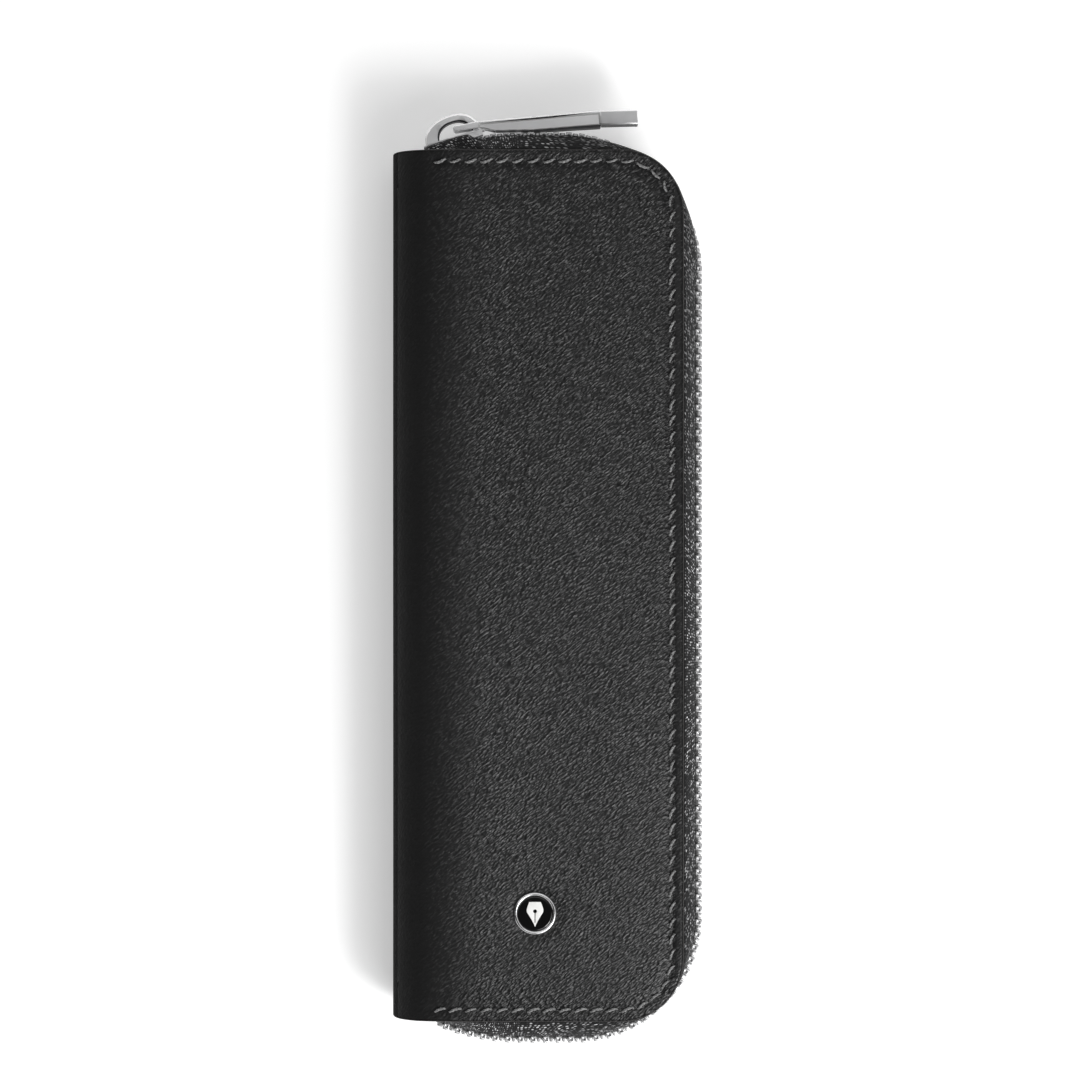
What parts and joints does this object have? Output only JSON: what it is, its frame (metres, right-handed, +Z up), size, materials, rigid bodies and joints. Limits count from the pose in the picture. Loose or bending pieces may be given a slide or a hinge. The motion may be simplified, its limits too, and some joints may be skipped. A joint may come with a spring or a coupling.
{
  "type": "fountain pen case",
  "caption": "Slim black leather fountain pen case with a metal zip round three sides, a satin slider with a long pull, and a small round emblem.",
  "frame": {"origin": "middle of the back cover's flat underside, on which the shut case lies", "axes": "+X from the spine to the zipped long side, +Y towards the end where the slider rests when shut, +Z up from the back cover to the front cover"},
  "size_m": [0.0592, 0.1783, 0.0225],
  "materials": {
    "leather": "soft grained black calf leather, satin, with painted edges",
    "edge_thread": "twisted dark grey thread",
    "foam": "thin open-cell foam sheet",
    "board": "grey fibre board",
    "lining": "dark woven lining cloth",
    "zip_tape": "black herringbone zip tape",
    "zip_metal": "tumbled matt silver metal",
    "slider_metal": "fine satin silver metal with bright edges",
    "bezel_chrome": "polished",
    "black_enamel": "glossy black enamel",
    "white_enamel": "smooth white enamel",
    "sleeve_leather": "thin smooth black leather",
    "sleeve_thread": "dark grey thread"
  },
  "bodies": {
    "back_cover": {"back_leather": "leather", "back_edge_thread": "edge_thread", "back_padding": "foam", "back_board": "board", "back_lining": "lining", "zip_tape_back": "zip_tape", "zip_teeth_back": "zip_metal", "top_stop_back": "zip_metal", "bottom_stop": "zip_metal", "pen_sleeve": "sleeve_leather", "sleeve_thread_left": "sleeve_thread", "sleeve_thread_middle": "sleeve_thread", "sleeve_thread_right": "sleeve_thread"},
    "spine": {"spine_leather": "leather", "spine_lining": "lining"},
    "front_cover": {"front_leather": "leather", "front_edge_thread": "edge_thread", "front_padding": "foam", "front_board": "board", "front_lining": "lining", "zip_tape_front": "zip_tape", "zip_teeth_front": "zip_metal", "top_stop_front": "zip_metal", "emblem_bezel": "bezel_chrome", "emblem_disc": "black_enamel", "emblem_nib": "white_enamel", "emblem_washer": "zip_metal"},
    "slider": {"slider_body": "slider_metal", "slider_crown": "slider_metal", "slider_lock_spring": "zip_metal"},
    "pull": {"pull_tab": "slider_metal"}
  },
  "joints": [
    {"name": "spine_fold", "type": "hinge", "parent": "back_cover", "child": "spine", "pos_m": [-0.02627, 0, 0.00193], "axis": [0, -1, 0], "range_deg": [0, 90]},
    {"name": "cover_fold", "type": "hinge", "parent": "spine", "child": "front_cover", "pos_m": [-0.02627, 0, 0.02007], "axis": [0, -1, 0], "range_deg": [0, 90]},
    {"name": "slider_travel", "type": "hinge", "parent": "back_cover", "child": "slider", "pos_m": [-0.004, 0.0455, 0.011], "axis": [0, 0, -1], "range_deg": [0, 18.5], "deforming": ["zip_teeth_back", "zip_teeth_front"]},
    {"name": "pull_swing", "type": "hinge", "parent": "slider", "child": "pull", "pos_m": [-0.0161, 0.0873, 0.011], "axis": [0, 0, 1], "range_deg": [0, 175]}
  ],
  "couplings": [
    {"joint": "spine_fold", "follows": "cover_fold", "ratio": 1}
  ]
}
